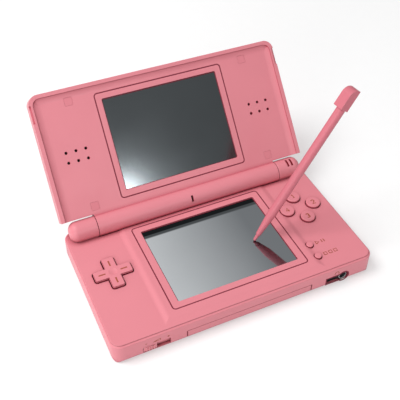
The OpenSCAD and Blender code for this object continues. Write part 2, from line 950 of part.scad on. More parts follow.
module push_button(r, top, flange_r) {
  translate([0, 0, flange_z])
    cylinder(r = flange_r, h = flange_t);
  translate([0, 0, flange_z])
    rotate_extrude() {
      square([r - 0.5, top - flange_z]);
      square([r, top - flange_z - 0.5]);
      intersection() {
        translate([r - 0.5, top - flange_z - 0.5])
          circle(0.5);
        translate([0, top - flange_z - 0.5])
          square([r, 0.5]);
      }
    }
}

module face_button(i, j) {
  color(shell_pink)
  translate([face_x + face_pitch * i, face_y + face_pitch * j, 0])
    push_button(face_r, button_top, face_r + button_flange);
}

module face_button_top() { face_button(0, 1); }
module face_button_right() { face_button(1, 0); }
module face_button_bottom() { face_button(0, -1); }
module face_button_left() { face_button(-1, 0); }

module menu_button(y) {
  color(shell_pink)
  translate([menu_x, y, 0])
    push_button(menu_r, button_top - 0.2, menu_r + 0.8);
}

module start_button() { menu_button(start_y); }
module select_button() { menu_button(select_y); }

// one shoulder button, on the right; the left one mirrors it
module shoulder() {
  difference() {
    intersection() {
      case_body(0, shoulder_low, 10);
      box([shoulder_x, side_x + cut], [shoulder_y, rear_y + cut], [shoulder_low, shoulder_high]);
    }
    difference() {
      box([shoulder_x + 1.2, side_x - 1.6], [shoulder_y - cut, rear_y - 1.6],
        [shoulder_low + 1.2, shoulder_high - 1.2]);
      box([shoulder_x, shoulder_x + 3.8], [shoulder_y - 2, shoulder_pin_y + 1.9], [0, 14]);
    }
    rod_x(shoulder_pin_r + run_gap, shoulder_x - 2.7, shoulder_x + 9.3, shoulder_pin_y,
      shoulder_pin_z);
  }
}

module right_shoulder_button() {
  color(shell_pink)
  shoulder();
}

module left_shoulder_button() {
  color(shell_pink)
  mirror([1, 0, 0])
    shoulder();
}

module power_slider() {
  color(shell_deep) {
    box([side_x - 1.0, side_x + 0.7], [power_y - 4.9, power_y + 1.9],
      [power_z - 1.1, power_z + 1.1]);
    box([side_x - 1.8, side_x - 0.9], [power_y - 3.2, power_y + 0.2],
      [power_z - 0.7, power_z + 0.7]);
    // plate that closes the slot from inside
    box([side_x - 2.0, side_x - 1.6],
      [power_y - power_len / 2 - power_travel - 0.3, power_y + power_len / 2 + 0.3],
      [power_z - 1.8, power_z + 1.8]);
    for (i = [0:2])
      box([side_x + 0.6, side_x + 1.0], [power_y - 3.7 + 2 * i, power_y - 3.2 + 2 * i],
        [power_z - 0.9, power_z + 0.9]);
  }
}

module volume_slider() {
  knob_left = volume_x - volume_len / 2 + 0.2;
  travel = volume_len - volume_knob - 0.4;
  color(shell_deep) {
    box([knob_left, knob_left + volume_knob], [front_y + 0.1, front_y + 1.2],
      [volume_z - volume_h / 2 + 0.25, volume_z + volume_h / 2 - 0.25]);
    box([knob_left + 1.5, knob_left + volume_knob - 1.5], [front_y + 1.1, front_y + 2.6],
      [volume_z - 1, volume_z + 1]);
    // plate that closes the slot from inside
    box([knob_left - 0.6 - travel, volume_x + volume_len / 2 + 0.4],
      [front_y + 1.6, front_y + 2.4],
      [volume_z - volume_h / 2 - 0.4, volume_z + volume_h / 2 + 0.2]);
    for (i = [0:3])
      box([knob_left + 1 + 1.2 * i, knob_left + 1.5 + 1.2 * i], [front_y - 0.35, front_y + 0.2],
        [volume_z - 1.2, volume_z + 1.2]);
  }
}

module cartridge_slot_cover() {
  color(shell_pink)
  difference() {
    union() {
      intersection() {
        case_body(0, 0, seam_z - cover_gap);
        box([-cover_half, cover_half], [front_y - cut, front_y + 1.6], [0, seam_z]);
      }
      box([0.5 - rail_x, rail_x - 0.5], [front_y + 1.5, front_y + 1.5 + cover_reach], [1.6, 5.3]);
    }
    for (i = [-1, 0, 1])
      box([i * 19 - 8.4, i * 19 + 8.4], [front_y + 3.4, front_y + cover_reach - 1], [2.8, 9]);
  }
}

// stylus, along Z from its point
module place_stylus() {
  translate([stylus_x, stylus_y, tip_z])
    rotate([0, 90 - stylus_el, stylus_az])
      rotate([0, 0, stylus_roll])
        translate([0, 0, 0.2])
          children();
}

module stylus_shaft() {
  color(shell_pink)
  place_stylus() {
    translate([0, 0, 0.75])
      sphere(r = 0.75);
    translate([0, 0, 0.75])
      cylinder(r1 = 0.75, r2 = 0.95, h = 3.2);
    translate([0, 0, 3.9])
      cylinder(r1 = 1.25, r2 = stylus_r, h = 13);
    translate([0, 0, 16.9])
      cylinder(r = stylus_r, h = stylus_len - cap_len - 16.9);
  }
}

module stylus_cap() {
  color(shell_pink)
  place_stylus()
    translate([0, block_b[1], stylus_len - cap_len])
      rotate([90, 0, 0])
        linear_extrude(block_b[1] - block_b[0]) {
          translate([block_a[0], 0])
            square([block_a[1] - block_a[0], cap_len - 4]);
          translate([block_a[0], 0])
            square([block_a[1] - block_a[0] - 4, cap_len]);
          translate([block_a[1] - 4, cap_len - 4])
            intersection() {
              circle(4);
              square(4);
            }
        }
}

// lid, in the frame of its hinge axis
module place_lid() {
  translate([0, hinge_y, hinge_z])
    rotate([180 - lid_open, 0, 0])
      children();
}

module lid_body(s) {
  mid = (lid_far + lid_near) / 2;
  intersection() {
    translate([0, mid, -20])
      linear_extrude(40)
        lid_plan(lid_w - 2 * s, lid_far - lid_near - 2 * s, corner_r - s);
    along_y(0, 80)
      translate([0, -lid_back + s])
        dished(lid_w / 2 - s, 20, bottom_r - s);
    along_x(-70, 70)
      translate([mid, -lid_back + s])
        dished((lid_far - lid_near) / 2 - s, 20, bottom_r - s);
    box([-70, 70], [0, 80], [-lid_back + s, lid_rim]);
  }
}

module on_lid_screws() {
  for (i = [-1, 1], p = [far_pad, near_pad])
    translate([i * p[0], p[1], 0])
      children();
}

module lid_outer_case() {
  color(shell_pink)
  place_lid()
    difference() {
      union() {
        difference() {
          lid_body(0);
          intersection() {
            lid_body(wall);
            translate([0, (lid_near + near_wall + lid_far - rim_w) / 2, 0])
              linear_extrude(40, center = true)
                lid_plan(lid_w - 2 * rim_w, lid_far - rim_w - lid_near - near_wall, 3.4);
          }
          // the inner shell lies between the side walls, in front of this edge
          translate([0, (lid_far - rim_w) / 2, plate_back])
            linear_extrude(20)
              rrect(lid_w - 2 * rim_w, lid_far - rim_w, 3.4);
          // room for the neck behind the barrel
          box([-barrel_half - 0.15, barrel_half + 0.15], [0, 10], [-neck_back - 0.15, 20]);
        }
        on_lid_screws()
          translate([0, 0, -lid_back + 1])
            cylinder(r = 2.4, h = lid_back - 1 + plate_back);
      }
      on_lid_screws()
        translate([0, 0, -5.9])
          cylinder(r = 0.8, h = 10);
      // finger notches in both side rims
      for (i = [-1, 1])
        translate([i * lid_w / 2, notch_d, lid_rim])
          box([-0.9, 0.9], [-4.4, 4.4], [-0.8, 2]);
    }
}

module band(len) {
  // hollow fillet between the inner face and the rim
  difference() {
    translate([0, lid_face - 0.1])
      square([band_w, 0.9]);
    translate([0, lid_face + 8])
      circle(8);
  }
}

module lid_inner_case() {
  in_w = lid_w - 2 * rim_w - 0.1;
  far = lid_far - rim_w - 0.05;
  color(shell_pink)
  place_lid()
    difference() {
      union() {
        // plate between the side walls
        translate([0, (far + lid_near) / 2, plate_back])
          linear_extrude(lid_face - plate_back)
            lid_plan(in_w, far - lid_near, 3.3);
        // hollow bands along the sides and the far edge
        intersection() {
          translate([0, (far + lid_near) / 2, -5])
            linear_extrude(20)
              lid_plan(in_w, far - lid_near, 3.3);
          union() {
            mirrored()
              translate([in_w / 2 - band_w, 0, 0])
                along_y(lid_near, far)
                  band();
            translate([0, far - band_w, 0])
              along_x(-in_w / 2, in_w / 2)
                band();
          }
        }
        // barrel and its neck
        rod_x(barrel_r, -barrel_half, barrel_half, 0, 0);
        along_x(-barrel_half, barrel_half)
          polygon([[0, 0], [0, lid_face], [neck_out, lid_face], [neck_out, -neck_back],
            [neck_in, -neck_back]]);
      }
      // bore for the pins and the hollow between them
      rod_x(hinge_pin_r + run_gap, -cap_end, cap_end, 0, 0);
      rod_x(3.6, bush_reach + 0.5 - barrel_half, barrel_half - cam_reach + 0.2, 0, 0);
      // slot that the cable leaves through
      box([-20.5, -7.5], [0, 12], [-3.4, -2.6]);
      // upper screen
      translate([0, up_screen_d, up_glass_w])
        linear_extrude(20)
          rrect(up_frame_w + 2 * fit_gap, up_frame_h + 2 * fit_gap, 1.6);
      translate([0, up_screen_d, -10])
        linear_extrude(20)
          rrect(up_panel_w + 2 * fit_gap, up_panel_h + 2 * fit_gap, 0.6);
      // speaker holes
      for (s = [-1, 1], i = [-1:1], j = [-0.5, 0.5])
        translate([s * speaker_x + i * speaker_pitch, speaker_d + j * speaker_pitch, -5])
          cylinder(r = speaker_hole_r, h = 10);
      // screws and their covers
      on_lid_screws() {
        translate([0, 0, -5])
          cylinder(r = 0.95, h = 10);
        translate([0, 0, 0])
          cylinder(r = head_r + 0.15, h = 10);
        translate([0, 0, lid_face - pad_t])
          linear_extrude(5)
            rrect(pad_side + 0.06, pad_side + 0.06, 0.6);
      }
      // opening of the microphone
      box([-0.65, 0.45], [-2.1, 1.2], [3.0, 6]);
    }
}

module upper_screen_frame() {
  color(shell_pink)
  place_lid()
    difference() {
      translate([0, up_screen_d, up_glass_w])
        linear_extrude(glass_drop)
          rrect(up_frame_w, up_frame_h, 1.5);
      translate([0, up_screen_d, -5])
        linear_extrude(20)
          rrect(window_w, window_h, 0.8);
    }
}

module upper_window() {
  color(glass_grey)
  place_lid()
    translate([0, up_screen_d, up_glass_w - up_glass_t])
      linear_extrude(up_glass_t)
        rrect(up_panel_w, up_panel_h, 0.5);
}

module upper_display() {
  color(metal)
  place_lid()
    translate([0, up_screen_d, up_glass_w - up_glass_t - up_display_t])
      linear_extrude(up_display_t)
        rrect(module_w, up_display_h, 0.8);
}

module speaker(side) {
  color(dark)
  place_lid()
    translate([side * speaker_x, speaker_d, 0])
      difference() {
        union() {
          translate([0, 0, plate_back - 1.8])
            cylinder(r = speaker_r, h = 1.8);
          translate([0, 0, plate_back - 3.2])
            cylinder(r = 4.6, h = 1.5);
        }
        translate([0, 0, plate_back - 0.7])
          cylinder(r = speaker_r - 0.9, h = 2);
      }
}

module left_speaker() { speaker(-1); }
module right_speaker() { speaker(1); }

module lid_screw_covers() {
  color(shell_deep)
  place_lid()
    on_lid_screws()
      translate([0, 0, lid_face - pad_t])
        linear_extrude(pad_t - 0.03)
          rrect(pad_side, pad_side, 0.6);
}

module lid_screws() {
  color(metal)
  place_lid()
    on_lid_screws()
      mirror([0, 0, 1])
        screw(-0.8, 0.8, 6.2);
}

module microphone() {
  color(dark)
  place_lid()
    translate([-0.1, 0, 1.1])
      cylinder(r = 1.8, h = 2.0);
}

module lid_cable() {
  color([0.75, 0.50, 0.20])
  place_lid()
    difference() {
      union() {
        rod_x(3.4, -19, -9, 0, 0);
        box([-19, -9], [0, display_near - 0.4], [-3.2, -2.8]);
        box([-19, -9], [display_near - 0.8, display_near + 4.2], [-4.4, -4.0]);
        box([-19, -9], [display_near - 0.8, display_near - 0.4], [-4.4, -2.8]);
      }
      rod_x(2.9, -20, -8, 0, 0);
    }
}

base_bottom_case();
base_top_case();
touch_screen_frame();
touch_panel();
lower_display();
shield_plate();
main_board();
board_chips();
pad_membrane();
face_membrane();
menu_membrane();
game_card_slot();
cartridge_connector();
battery();
battery_cover();
battery_cover_screw();
case_screws();
screw_plugs();
headset_jack();
power_inlet();
power_switch();
volume_control();
left_shoulder_switch();
right_shoulder_switch();
shoulder_pins();
wireless_module();
stylus_tube();
status_light_pipes();
hinge_bush();
hinge_click_cam();
pad_pivot();
direction_pad();
face_button_top();
face_button_right();
face_button_bottom();
face_button_left();
start_button();
select_button();
left_shoulder_button();
right_shoulder_button();
power_slider();
volume_slider();
cartridge_slot_cover();
stylus_shaft();
stylus_cap();
lid_outer_case();
lid_inner_case();
upper_screen_frame();
upper_window();
upper_display();
left_speaker();
right_speaker();
lid_screw_covers();
lid_screws();
microphone();
lid_cable();
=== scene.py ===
"""Looks of a clamshell handheld game console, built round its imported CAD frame.

Shapes are written in millimetres, and mm() turns them into the frame's metres.
The lid's own frame has X along the hinge, Y away from it over the lid's inner
face and Z out of that face, with the hinge axis as its origin.
"""

import math

import bmesh
import bpy
from mathutils import Matrix, Vector


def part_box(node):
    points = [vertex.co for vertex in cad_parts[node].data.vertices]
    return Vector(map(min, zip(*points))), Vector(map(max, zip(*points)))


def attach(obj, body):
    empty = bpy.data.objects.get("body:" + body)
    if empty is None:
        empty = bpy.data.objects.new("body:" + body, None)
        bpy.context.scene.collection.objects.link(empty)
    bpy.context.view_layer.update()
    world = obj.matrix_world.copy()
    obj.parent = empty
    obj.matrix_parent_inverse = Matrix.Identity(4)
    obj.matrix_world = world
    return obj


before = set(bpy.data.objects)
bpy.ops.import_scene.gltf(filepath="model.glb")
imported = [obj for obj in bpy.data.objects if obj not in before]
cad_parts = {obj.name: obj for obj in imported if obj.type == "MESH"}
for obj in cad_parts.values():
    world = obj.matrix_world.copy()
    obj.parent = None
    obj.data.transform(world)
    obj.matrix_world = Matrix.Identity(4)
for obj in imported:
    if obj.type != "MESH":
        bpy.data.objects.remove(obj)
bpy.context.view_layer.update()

# lid, as drawn in the part's source
LID_OPEN = math.radians(130.5)
HINGE = Vector((0, 32.6, 14.0))
LID_FACE = 1.3

# screens: size of a window, depth of its glass, corners of frame and window,
# both borders of the frame together, and how far the upper one lies from the hinge
WINDOW = (62.3, 46.8)
GLASS_DROP = 0.65
FRAME_CORNER = 1.55
WINDOW_CORNER = 0.8
FRAME_BORDERS = 6.4
UPPER_SCREEN = 36.3

# how wide the painted shadow lines of the seam round a frame and of the gasket in it are
# drawn, how much larger than the frame the seam is, and how much smaller than the window the
# gasket is
SEAM_WIDTH = 0.62
SEAM_GROWTH = 0.1
GASKET_WIDTH = 0.5
GASKET_INSET = 0.3

# front wall: its plane, the slot cover's side gaps, the headset opening, whose straight
# part runs from its left end to the middle of its round end, and the jack's mouth
FRONT = -37.0
COVER_GAP = 32.08
COVER_GAP_HEIGHTS = (2.2, 5.8)
HEADSET_LEFT = 40.3
HEADSET_RIGHT = 49.9
HEADSET_HEIGHT = 3.7
HEADSET_HALF = 2.0
HEADSET_RADIUS = 2.9
JACK_DEPTH = 0.69

# signs on the front wall, as their middles in X and Z
VOLUME_SIGNS = (-46.6, 7.5)
HEADSET_SIGN = (45.9, 7.35)

# marks of the controls: how far the small buttons stand over the deck, where their
# signs lie from them, and both ends of a bar on the pad, from its middle
SMALL_BUTTON_RISE = 1.0
SMALL_BUTTON_SIGN = (4.6, 0.3)
PAD_BAR = (3.7, 7.0)

# gap between the hinge barrel and its caps, from the middle
HINGE_GAP = 50.2

# lower screen, painted reflection: where its colour turns from light to dark grey in X, and
# where the painted slate band and black strip begin, before the window's rear edge
REFLECTION_FADE = (-36, 20)
FRAME_REAR_BORDER = 3.35
REFLECTED_SLATE_BAND = (5.4, 4.6)
REFLECTED_BLACK_STRIP = (3.3, 3.1)

# camera, fitted to the photograph's corners and edges
CAMERA_PLACE = (-111.73, -211.95, 272.28)
CAMERA_TARGET = (18.42, 59.42, 11.9)
CAMERA_ROLL = math.radians(1.274)
CAMERA_RISE = -0.1
FOCAL_PIXELS = 723.1
PHOTO_PIXELS = 400
SENSOR = 36

# colours, as linear light
PINK = (0.72, 0.234, 0.274)
# painted highlight: a paler pink for rounded edges and for the sliders' plates
LIT_PINK = (0.80, 0.29, 0.33)
DEEP_PINK = (0.67, 0.19, 0.232)
# painted shade: the stylus's pink is a darker copy of the shell's pink
STYLUS_PINK = (0.60, 0.165, 0.205)
# painted shade: the dark reds that moulded plastics turn to in creases and gaps
CREASE_SHADE = (0.30, 0.034, 0.056)
LID_CREASE_SHADE = (0.55, 0.10, 0.14)
# painted shadow: the dark red of the lines laid in seams and gaps
SEAM_SHADOW_RED = (0.21, 0.026, 0.046)
INK = (0.40, 0.09, 0.04)
RUBBER_PINK = (0.70, 0.22, 0.26)
LIGHT_PIPE_RED = (0.19, 0.003, 0.012)
BOARD_GREEN = (0.02, 0.11, 0.05)
CELL_BLUE = (0.07, 0.085, 0.11)
FILM_AMBER = (0.42, 0.17, 0.03)
BLACK = (0.006, 0.006, 0.007)
JACK_GREY = (0.05, 0.053, 0.057)
RUBBER_GREY = (0.16, 0.16, 0.165)
STEEL = (0.56, 0.56, 0.57)
SHEET_METAL = (0.62, 0.63, 0.64)
FLOOR_WHITE = (0.62, 0.62, 0.62)
DISPLAY_DARK = (0.02, 0.022, 0.025)
# painted reflection: black of the strip at the lower screen's rear
REFLECTION_BLACK = (0.016, 0.019, 0.021)
SLATE = (0.112, 0.124, 0.131)
# painted reflection: the lower screen's colour from light grey to dark grey across
REFLECTION_LIGHT = (0.93, 0.97, 1.0)
REFLECTION_DARK = (0.30, 0.32, 0.34)

GLASS_IOR = 1.5

# height of the hairline seam between the two lower shells
SHELL_SEAM = 6.0

# sides of a turned ring
RING_STEPS = 48

# lights: where they stand, what they face, their width and their radiance
LIGHTS = {
    "key": ((-430, 130, 790), (0, 10, 10), 420, 8.3),
    "fill": ((-560, -430, 300), (0, 0, 20), 260, 6.2),
    "screen_glare": ((135, -705, 515), (-31, 40, 24), 120, 24.0),
}

# sky: two ramps of brightness that are added, each from one end of an axis to the other
SKY_RAMPS = (("X", 0.26, -0.26), ("Z", -0.22, 0.76))

# floor: how far it lies under the case, and its own glow, which keeps it white
FLOOR_DROP = 0.05
FLOOR_GLOW = 0.37


def mm(value):
    return value / 1000


def place_at(x, y, z):
    """A shift to a point, such as a mark's middle on a level face."""
    return Matrix.Translation((mm(x), mm(y), mm(z)))


def place_on_front(x, z, depth=0.0):
    """Where a mark lies on the upright front wall, or behind it, read from the front."""
    return place_at(x, FRONT + depth, z) @ Matrix.Rotation(math.pi / 2, 4, "X")


def place_on_lid(x, d, w):
    """Where a mark lies on the lid's inner face."""
    lid = Matrix.Translation(HINGE / 1000) @ Matrix.Rotation(math.pi - LID_OPEN, 4, "X")
    return lid @ place_at(x, d, w)


def centre_and_top(node):
    """Centre of a CAD node in plan and the height of its top, in millimetres."""
    low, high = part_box(node)
    return (low.x + high.x) * 500, (low.y + high.y) * 500, high.z * 1000


# materials


class Shader:
    """A material's node tree with one Principled shader."""

    def __init__(self, name):
        self.material = bpy.data.materials.new(name)
        self.material.use_nodes = True
        self.tree = self.material.node_tree
        self.tree.nodes.clear()
        self.surface = self.add("ShaderNodeBsdfPrincipled")
        output = self.add("ShaderNodeOutputMaterial")
        self.link(self.surface.outputs["BSDF"], output.inputs["Surface"])
        self.place = self.add("ShaderNodeTexCoord").outputs["Object"]

    def add(self, kind, **inputs):
        node = self.tree.nodes.new(kind)
        for name, value in inputs.items():
            node.inputs[name.replace("_", " ")].default_value = value
        return node

    def link(self, start, end):
        self.tree.links.new(start, end)

    def set(self, name, value):
        self.surface.inputs[name].default_value = value

    def noise(self, size, detail=2.0):
        """Noise whose grains are about size millimetres across."""
        node = self.add("ShaderNodeTexNoise", Scale=1000 / size, Detail=detail)
        self.link(self.place, node.inputs["Vector"])
        return node.outputs["Fac"]

    def spread(self, source, low, high, start=0.3, end=0.7):
        """A value between start and end, spread over low to high."""
        node = self.add(
            "ShaderNodeMapRange", From_Min=start, From_Max=end, To_Min=low, To_Max=high
        )
        self.link(source, node.inputs["Value"])
        return node.outputs["Result"]

    def mix(self, factor, first, second):
        """A colour between two, each a colour or another node's output."""
        node = self.tree.nodes.new("ShaderNodeMix")
        node.data_type = "RGBA"
        # sockets 6 and 7, and output 2, are the ones for colours
        self.link(factor, node.inputs["Factor"])
        for socket, colour in ((node.inputs[6], first), (node.inputs[7], second)):
            if isinstance(colour, tuple):
                socket.default_value = (*colour, 1)
            else:
                self.link(colour, socket)
        return node.outputs[2]

    def rounded_edges(self, radius):
        """Normals that turn smoothly over sharp edges."""
        node = self.tree.nodes.new("ShaderNodeBevel")
        node.samples = 6
        node.inputs["Radius"].default_value = mm(radius)
        return node.outputs["Normal"]

    def flat_normal(self):
        return self.tree.nodes.new("ShaderNodeNewGeometry").outputs["Normal"]

    def coordinate(self, axis):
        split = self.tree.nodes.new("ShaderNodeSeparateXYZ")
        self.link(self.place, split.inputs["Vector"])
        return split.outputs[axis]

    def math(self, operation, first, second):
        """An operation between a node's output and a number."""
        node = self.tree.nodes.new("ShaderNodeMath")
        node.operation = operation
        self.link(first, node.inputs[0])
        node.inputs[1].default_value = second
        return node.outputs[0]

    def plain_at_height(self, normal, height, reach=0.5):
        """Leaves a seam at one height flat, where two flush shells meet."""
        off = self.math("ABSOLUTE", self.math("SUBTRACT", self.coordinate("Z"), mm(height)), 0)
        mix = self.tree.nodes.new("ShaderNodeMix")
        mix.data_type = "VECTOR"
        # sockets 4 and 5, and output 1, are the ones for vectors
        self.link(self.spread(off, 0, 1, mm(0.7 * reach), mm(reach)), mix.inputs["Factor"])
        self.link(self.flat_normal(), mix.inputs[4])
        self.link(normal, mix.inputs[5])
        return mix.outputs[1]

    def painted_crease_shade(self, reach, depth):
        """Mask of painted shade: 1 deep in creases and gaps, 0 on open faces."""
        node = self.tree.nodes.new("ShaderNodeAmbientOcclusion")
        node.samples = 8
        node.inputs["Distance"].default_value = mm(reach)
        return self.spread(node.outputs["AO"], 1, 0, start=depth, end=0.96)

    def bump(self, source, height, normal=None):
        node = self.add("ShaderNodeBump", Strength=1.0, Distance=mm(height))
        self.link(source, node.inputs["Height"])
        if normal:
            self.link(normal, node.inputs["Normal"])
        self.link(node.outputs["Normal"], self.surface.inputs["Normal"])


def moulded(
    name, colour, highlight_colour, roughness, grain=0.28, height=0.006, radius=0.3, seam=None,
    crease=CREASE_SHADE, reach=3.2, depth=0.15,
):
    """Satin moulded plastic: fine spark texture, painted shade in creases and gaps, and a
    painted highlight of paler colour on rounded edges.
    """
    shader = Shader(name)
    normal = shader.rounded_edges(radius)
    if seam:
        normal = shader.plain_at_height(normal, seam)
    facing = shader.tree.nodes.new("ShaderNodeVectorMath")
    facing.operation = "DOT_PRODUCT"
    shader.link(normal, facing.inputs[0])
    shader.link(shader.flat_normal(), facing.inputs[1])
    # painted highlight: rounded edges turn to a paler colour where the rounded normals bend
    # away from the flat ones
    edge_highlight = shader.spread(facing.outputs["Value"], 0.8, 0.0, start=0.86, end=0.995)
    shade = tuple(0.965 * c for c in colour)
    clouds = shader.mix(shader.spread(shader.noise(26), 0, 1), shade, colour)
    highlighted = shader.mix(edge_highlight, clouds, highlight_colour)
    # painted shade: the colour turns to the dark crease colour where the occlusion is deep
    tint = shader.mix(shader.painted_crease_shade(reach, depth), highlighted, crease)
    shader.link(tint, shader.surface.inputs["Base Color"])
    rough = shader.spread(shader.noise(7, 4), roughness - 0.04, roughness + 0.05)
    shader.link(rough, shader.surface.inputs["Roughness"])
    shader.bump(shader.noise(grain, 3), height, normal)
    shader.set("Specular IOR Level", 0.3)
    return shader.material


def speckled(name, colour, roughness, grain, height, metallic=0.0, tone=0.12, specular=0.5):
    """A plain material with a fine grain and a slight change of tone."""
    shader = Shader(name)
    shade = tuple((1 - tone) * c for c in colour)
    tint = shader.mix(shader.spread(shader.noise(4 * grain), 0, 1), shade, colour)
    shader.link(tint, shader.surface.inputs["Base Color"])
    rough = shader.spread(shader.noise(9 * grain), roughness - 0.05, roughness + 0.05)
    shader.link(rough, shader.surface.inputs["Roughness"])
    shader.bump(shader.noise(grain), height)
    shader.set("Metallic", metallic)
    shader.set("Specular IOR Level", specular)
    return shader.material


def screen_glass(name, colour, roughness, metallic):
    """A screen's glossy front: an even tint with faint unevenness in its gloss."""
    shader = Shader(name)
    shade = tuple(0.94 * c for c in colour)
    shader.link(
        shader.mix(shader.spread(shader.noise(30), 0, 1), shade, colour),
        shader.surface.inputs["Base Color"],
    )
    rough = shader.spread(shader.noise(18, 3), roughness - 0.01, roughness + 0.01)
    shader.link(rough, shader.surface.inputs["Roughness"])
    shader.set("Metallic", metallic)
    shader.set("IOR", GLASS_IOR)
    return shader


def touch_panel_material():
    """The lower screen: mirror-like, with a painted reflection in its colour: light to dark
    grey across, then a slate band and a black strip at the rear.
    """
    shader = screen_glass("touch_panel_painted_reflection", REFLECTION_LIGHT, 0.045, 1.0)
    light = shader.surface.inputs["Base Color"].links[0].from_socket
    # painted reflection: light grey on the left fading to dark grey on the right, then a slate
    # band and a black strip towards the rear edge
    across = shader.spread(shader.coordinate("X"), 0, 1, *map(mm, REFLECTION_FADE))
    tint = shader.mix(across, light, REFLECTION_DARK)
    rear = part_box("touch_screen_frame")[1].y - mm(FRAME_REAR_BORDER)
    along = shader.coordinate("Y")
    for (start, end), colour in ((REFLECTED_SLATE_BAND, SLATE), (REFLECTED_BLACK_STRIP, REFLECTION_BLACK)):
        reached = shader.spread(along, 0, 1, rear - mm(start), rear - mm(end))
        tint = shader.mix(reached, tint, colour)
    shader.link(tint, shader.surface.inputs["Base Color"])
    return shader.material


# moulded plastics carry painted shade in creases and gaps; the lid and the buttons get deeper
# painted shade
MATERIALS = {
    "shell_pink": moulded("shell_pink", PINK, LIT_PINK, 0.40),
    "flush_shell": moulded("flush_shell", PINK, LIT_PINK, 0.40, radius=0.6, seam=SHELL_SEAM),
    "lid_pink": moulded(
        "lid_pink", PINK, PINK, 0.40, crease=LID_CREASE_SHADE, reach=2.4, depth=0.62
    ),
    "button_pink": moulded(
        "button_pink", PINK, LIT_PINK, 0.34, height=0.003, radius=0.2, reach=3.0, depth=0.5
    ),
    "deep_pink": moulded("deep_pink", DEEP_PINK, PINK, 0.45),
    # painted light: the sliders take the paler pink as their own colour and get no painted
    # crease shade, so their recessed plates read lighter
    "slider_pink": moulded("slider_pink", LIT_PINK, LIT_PINK, 0.4, crease=PINK),
    "stylus_pink": moulded("stylus_pink", STYLUS_PINK, PINK, 0.36, height=0.003),
    "pad_rubber": moulded("pad_rubber", RUBBER_PINK, PINK, 0.62, grain=0.5),
    "touch_panel": touch_panel_material(),
    "upper_window": screen_glass("upper_window_slate", SLATE, 0.14, 1.0).material,
    "display": screen_glass("display_dark", DISPLAY_DARK, 0.3, 0.0).material,
    "ink": speckled("printed_ink", INK, 0.55, 0.12, 0.004, tone=0.2, specular=0.3),
    "seam": speckled("seam_shadow_red", SEAM_SHADOW_RED, 0.7, 0.4, 0.01, specular=0.2),
    "board": speckled("board_green", BOARD_GREEN, 0.4, 1.6, 0.03, tone=0.35),
    "black": speckled("black_plastic", BLACK, 0.42, 0.4, 0.008, specular=0.3),
    "jack_grey": speckled("jack_grey", JACK_GREY, 0.22, 0.4, 0.006),
    "grey_rubber": speckled("grey_rubber", RUBBER_GREY, 0.75, 0.5, 0.02),
    "steel": speckled("steel", STEEL, 0.28, 0.3, 0.004, metallic=1.0),
    "sheet_metal": speckled("sheet_metal", SHEET_METAL, 0.38, 0.8, 0.01, metallic=1.0),
    "cell_wrap": speckled("cell_wrap", CELL_BLUE, 0.35, 3.0, 0.03),
    "light_pipe": speckled("light_pipe", LIGHT_PIPE_RED, 0.35, 1.0, 0.004, specular=0.2),
    "film": speckled("film", FILM_AMBER, 0.45, 1.2, 0.01),
}

NODE_MATERIALS = {
    "flush_shell": ("base_bottom_case", "base_top_case"),
    "shell_pink": ("touch_screen_frame", "upper_screen_frame", "cartridge_slot_cover"),
    "lid_pink": ("lid_outer_case", "lid_inner_case"),
    "stylus_pink": ("stylus_shaft", "stylus_cap"),
    "button_pink": (
        "direction_pad", "face_button_top", "face_button_right", "face_button_bottom",
        "face_button_left", "start_button", "select_button", "left_shoulder_button",
        "right_shoulder_button",
    ),
    "slider_pink": ("power_slider", "volume_slider"),
    "deep_pink": ("battery_cover", "stylus_tube"),
    "pad_rubber": ("lid_screw_covers", "screw_plugs"),
    "touch_panel": ("touch_panel",),
    "upper_window": ("upper_window",),
    "display": ("lower_display", "upper_display"),
    "board": ("main_board",),
    "black": (
        "board_chips", "cartridge_connector", "power_inlet", "left_speaker",
        "right_speaker", "microphone",
    ),
    "jack_grey": ("headset_jack",),
    "grey_rubber": ("pad_membrane", "face_membrane", "menu_membrane", "pad_pivot"),
    "steel": (
        "battery_cover_screw", "case_screws", "lid_screws", "shoulder_pins", "hinge_bush",
        "hinge_click_cam",
    ),
    "sheet_metal": (
        "shield_plate", "game_card_slot", "wireless_module", "power_switch",
        "volume_control", "left_shoulder_switch", "right_shoulder_switch",
    ),
    "cell_wrap": ("battery",),
    "light_pipe": ("status_light_pipes",),
    "film": ("lid_cable",),
}


def dress_cad_nodes():
    """Gives every CAD node its material."""
    for material, names in NODE_MATERIALS.items():
        for name in names:
            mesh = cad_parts[name].data
            mesh.materials.clear()
            mesh.materials.append(MATERIALS[material])


# marks, thin trim and painted shadow lines


def arc(x, y, radius, start, end, steps=14):
    """Points on an arc, from start to end in degrees."""
    angles = [math.radians(start + (end - start) * i / steps) for i in range(steps + 1)]
    return [(x + radius * math.cos(a), y + radius * math.sin(a)) for a in angles]


def rounded_loop(width, height, radius):
    """A closed rounded rectangle round the origin."""
    x, y = width / 2 - radius, height / 2 - radius
    points = []
    for i, (sx, sy) in enumerate(((1, 1), (-1, 1), (-1, -1), (1, -1))):
        points += arc(sx * x, sy * y, radius, 90 * i, 90 * i + 90, steps=6)
    return [*points, points[0]]


def add_piece(name, mesh, body, material):
    """Makes a mesh one piece of the object, riding on a body."""
    mesh.materials.clear()
    mesh.materials.append(MATERIALS[material])
    piece = bpy.data.objects.new(name, mesh)
    bpy.context.scene.collection.objects.link(piece)
    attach(piece, body)


